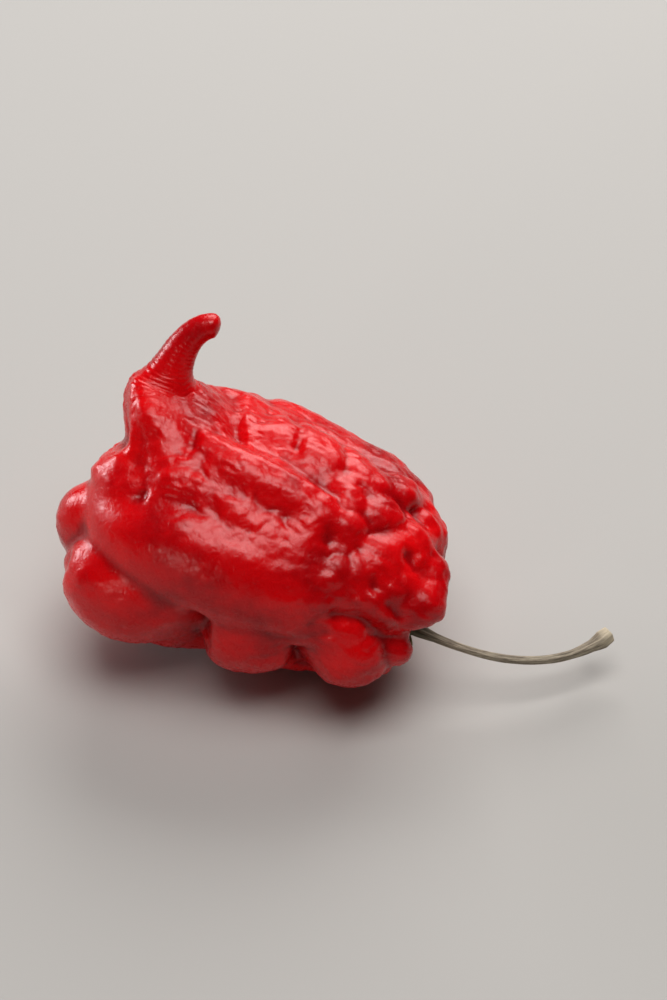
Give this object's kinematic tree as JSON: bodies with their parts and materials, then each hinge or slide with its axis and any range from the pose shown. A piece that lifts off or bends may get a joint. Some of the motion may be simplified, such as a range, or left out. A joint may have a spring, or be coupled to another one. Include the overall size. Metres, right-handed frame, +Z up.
{
  "type": "scorpion chili pepper",
  "caption": "Ripe red scorpion chili pepper lying as picked: lumpy wrinkled pod with a curved stinger, calyx and thin bent stem.",
  "frame": {"origin": "on the small flat spot of the belly that the pod rests on, close below its centre of mass", "axes": "+X along the pod from its blossom end to its stem, +Z up, away from the surface that it lies on"},
  "size_m": [0.0664, 0.0354, 0.0434],
  "materials": {
    "skin": "waxy, glossy red skin",
    "calyx": "matt dark green",
    "stem": "matt, dry, olive tan"
  },
  "bodies": {
    "root": {"pod": "skin", "calyx": "calyx", "stem": "stem"}
  },
  "joints": []
}
